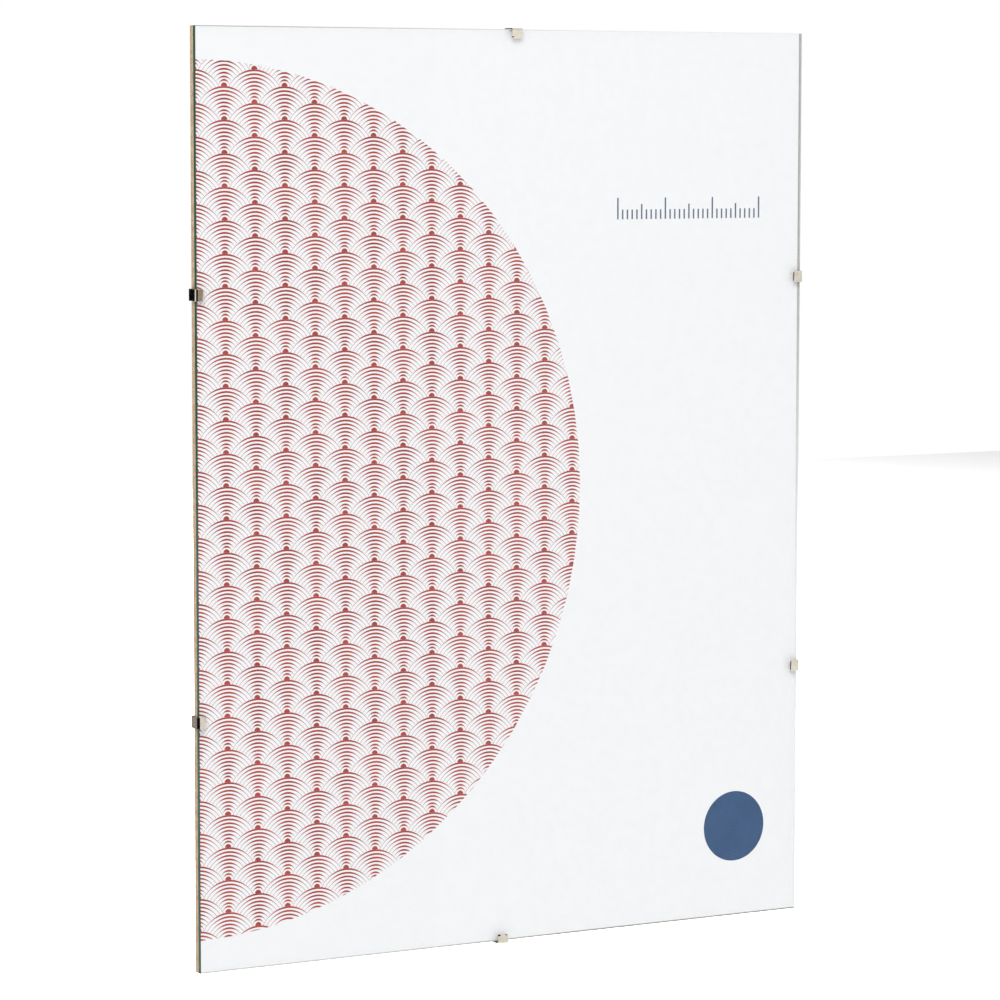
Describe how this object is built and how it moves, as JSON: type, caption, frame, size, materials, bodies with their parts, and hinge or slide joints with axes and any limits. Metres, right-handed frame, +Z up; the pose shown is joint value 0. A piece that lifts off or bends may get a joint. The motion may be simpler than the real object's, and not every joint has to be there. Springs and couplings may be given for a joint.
{
  "type": "clip frame",
  "caption": "Frameless picture holder: a glass pane and hardboard back held together round a printed sheet by bent spring clips, with hanging rings on the back.",
  "frame": {"origin": "under the middle of the whole frame, at the height of its lowest point", "axes": "+Z up with the picture upright, +Y to the back, so the glass faces -Y; +X to the right as seen from the front"},
  "size_m": [0.3016, 0.0092, 0.4018],
  "materials": {
    "glass": "polished, green at the edge",
    "paper": "printed, matt",
    "hardboard": "pressed fibre board",
    "clip_nickel": "nickel-plated spring steel",
    "hanger_zinc": "zinc-plated",
    "ring_wire": "zinc-plated wire",
    "rivet_zinc": "zinc-plated, rolled"
  },
  "bodies": {
    "frame": {"glass_pane": "glass", "insert_sheet": "paper", "back_board": "hardboard", "hanger_strap_portrait": "hanger_zinc", "hanger_rivet_portrait": "rivet_zinc", "hanger_strap_landscape": "hanger_zinc", "hanger_rivet_landscape": "rivet_zinc"},
    "clip_top": {"clip_top": "clip_nickel"},
    "clip_bottom": {"clip_bottom": "clip_nickel"},
    "clip_left_upper": {"clip_left_upper": "clip_nickel"},
    "clip_left_lower": {"clip_left_lower": "clip_nickel"},
    "clip_right_upper": {"clip_right_upper": "clip_nickel"},
    "clip_right_lower": {"clip_right_lower": "clip_nickel"},
    "ring_portrait": {"hanger_ring_portrait": "ring_wire"},
    "ring_landscape": {"hanger_ring_landscape": "ring_wire"}
  },
  "joints": [
    {"name": "clip_top_lift", "type": "hinge", "parent": "frame", "child": "clip_top", "pos_m": [0.00296, -0.00349, 0.3974], "axis": [1, 0, 0], "range_deg": [0, 9], "stiffness_Nm_per_rad": 0.01, "springref_deg": -11.46},
    {"name": "clip_bottom_lift", "type": "hinge", "parent": "frame", "child": "clip_bottom", "pos_m": [-0.00362, -0.00349, 0.0044], "axis": [-1, 0, 0], "range_deg": [0, 9], "stiffness_Nm_per_rad": 0.01, "springref_deg": -11.46},
    {"name": "clip_left_upper_lift", "type": "hinge", "parent": "frame", "child": "clip_left_upper", "pos_m": [-0.1462, -0.00349, 0.2892], "axis": [0, 0, 1], "range_deg": [0, 9], "stiffness_Nm_per_rad": 0.01, "springref_deg": -11.46},
    {"name": "clip_left_lower_lift", "type": "hinge", "parent": "frame", "child": "clip_left_lower", "pos_m": [-0.1464, -0.00349, 0.10883], "axis": [0, 0, 1], "range_deg": [0, 9], "stiffness_Nm_per_rad": 0.01, "springref_deg": -11.46},
    {"name": "clip_right_upper_lift", "type": "hinge", "parent": "frame", "child": "clip_right_upper", "pos_m": [0.14635, -0.00349, 0.29179], "axis": [0, 0, -1], "range_deg": [0, 9], "stiffness_Nm_per_rad": 0.01, "springref_deg": -11.46},
    {"name": "clip_right_lower_lift", "type": "hinge", "parent": "frame", "child": "clip_right_lower", "pos_m": [0.1464, -0.00349, 0.11403], "axis": [0, 0, -1], "range_deg": [0, 9], "stiffness_Nm_per_rad": 0.01, "springref_deg": -11.46},
    {"name": "ring_portrait_swing", "type": "hinge", "parent": "frame", "child": "ring_portrait", "pos_m": [0.0003, 0.00307, 0.35625], "axis": [1, 0, 0], "range_deg": [0, 180]},
    {"name": "ring_landscape_swing", "type": "hinge", "parent": "frame", "child": "ring_landscape", "pos_m": [0.1053, 0.00307, 0.20125], "axis": [0, 0, -1], "range_deg": [0, 180]}
  ]
}
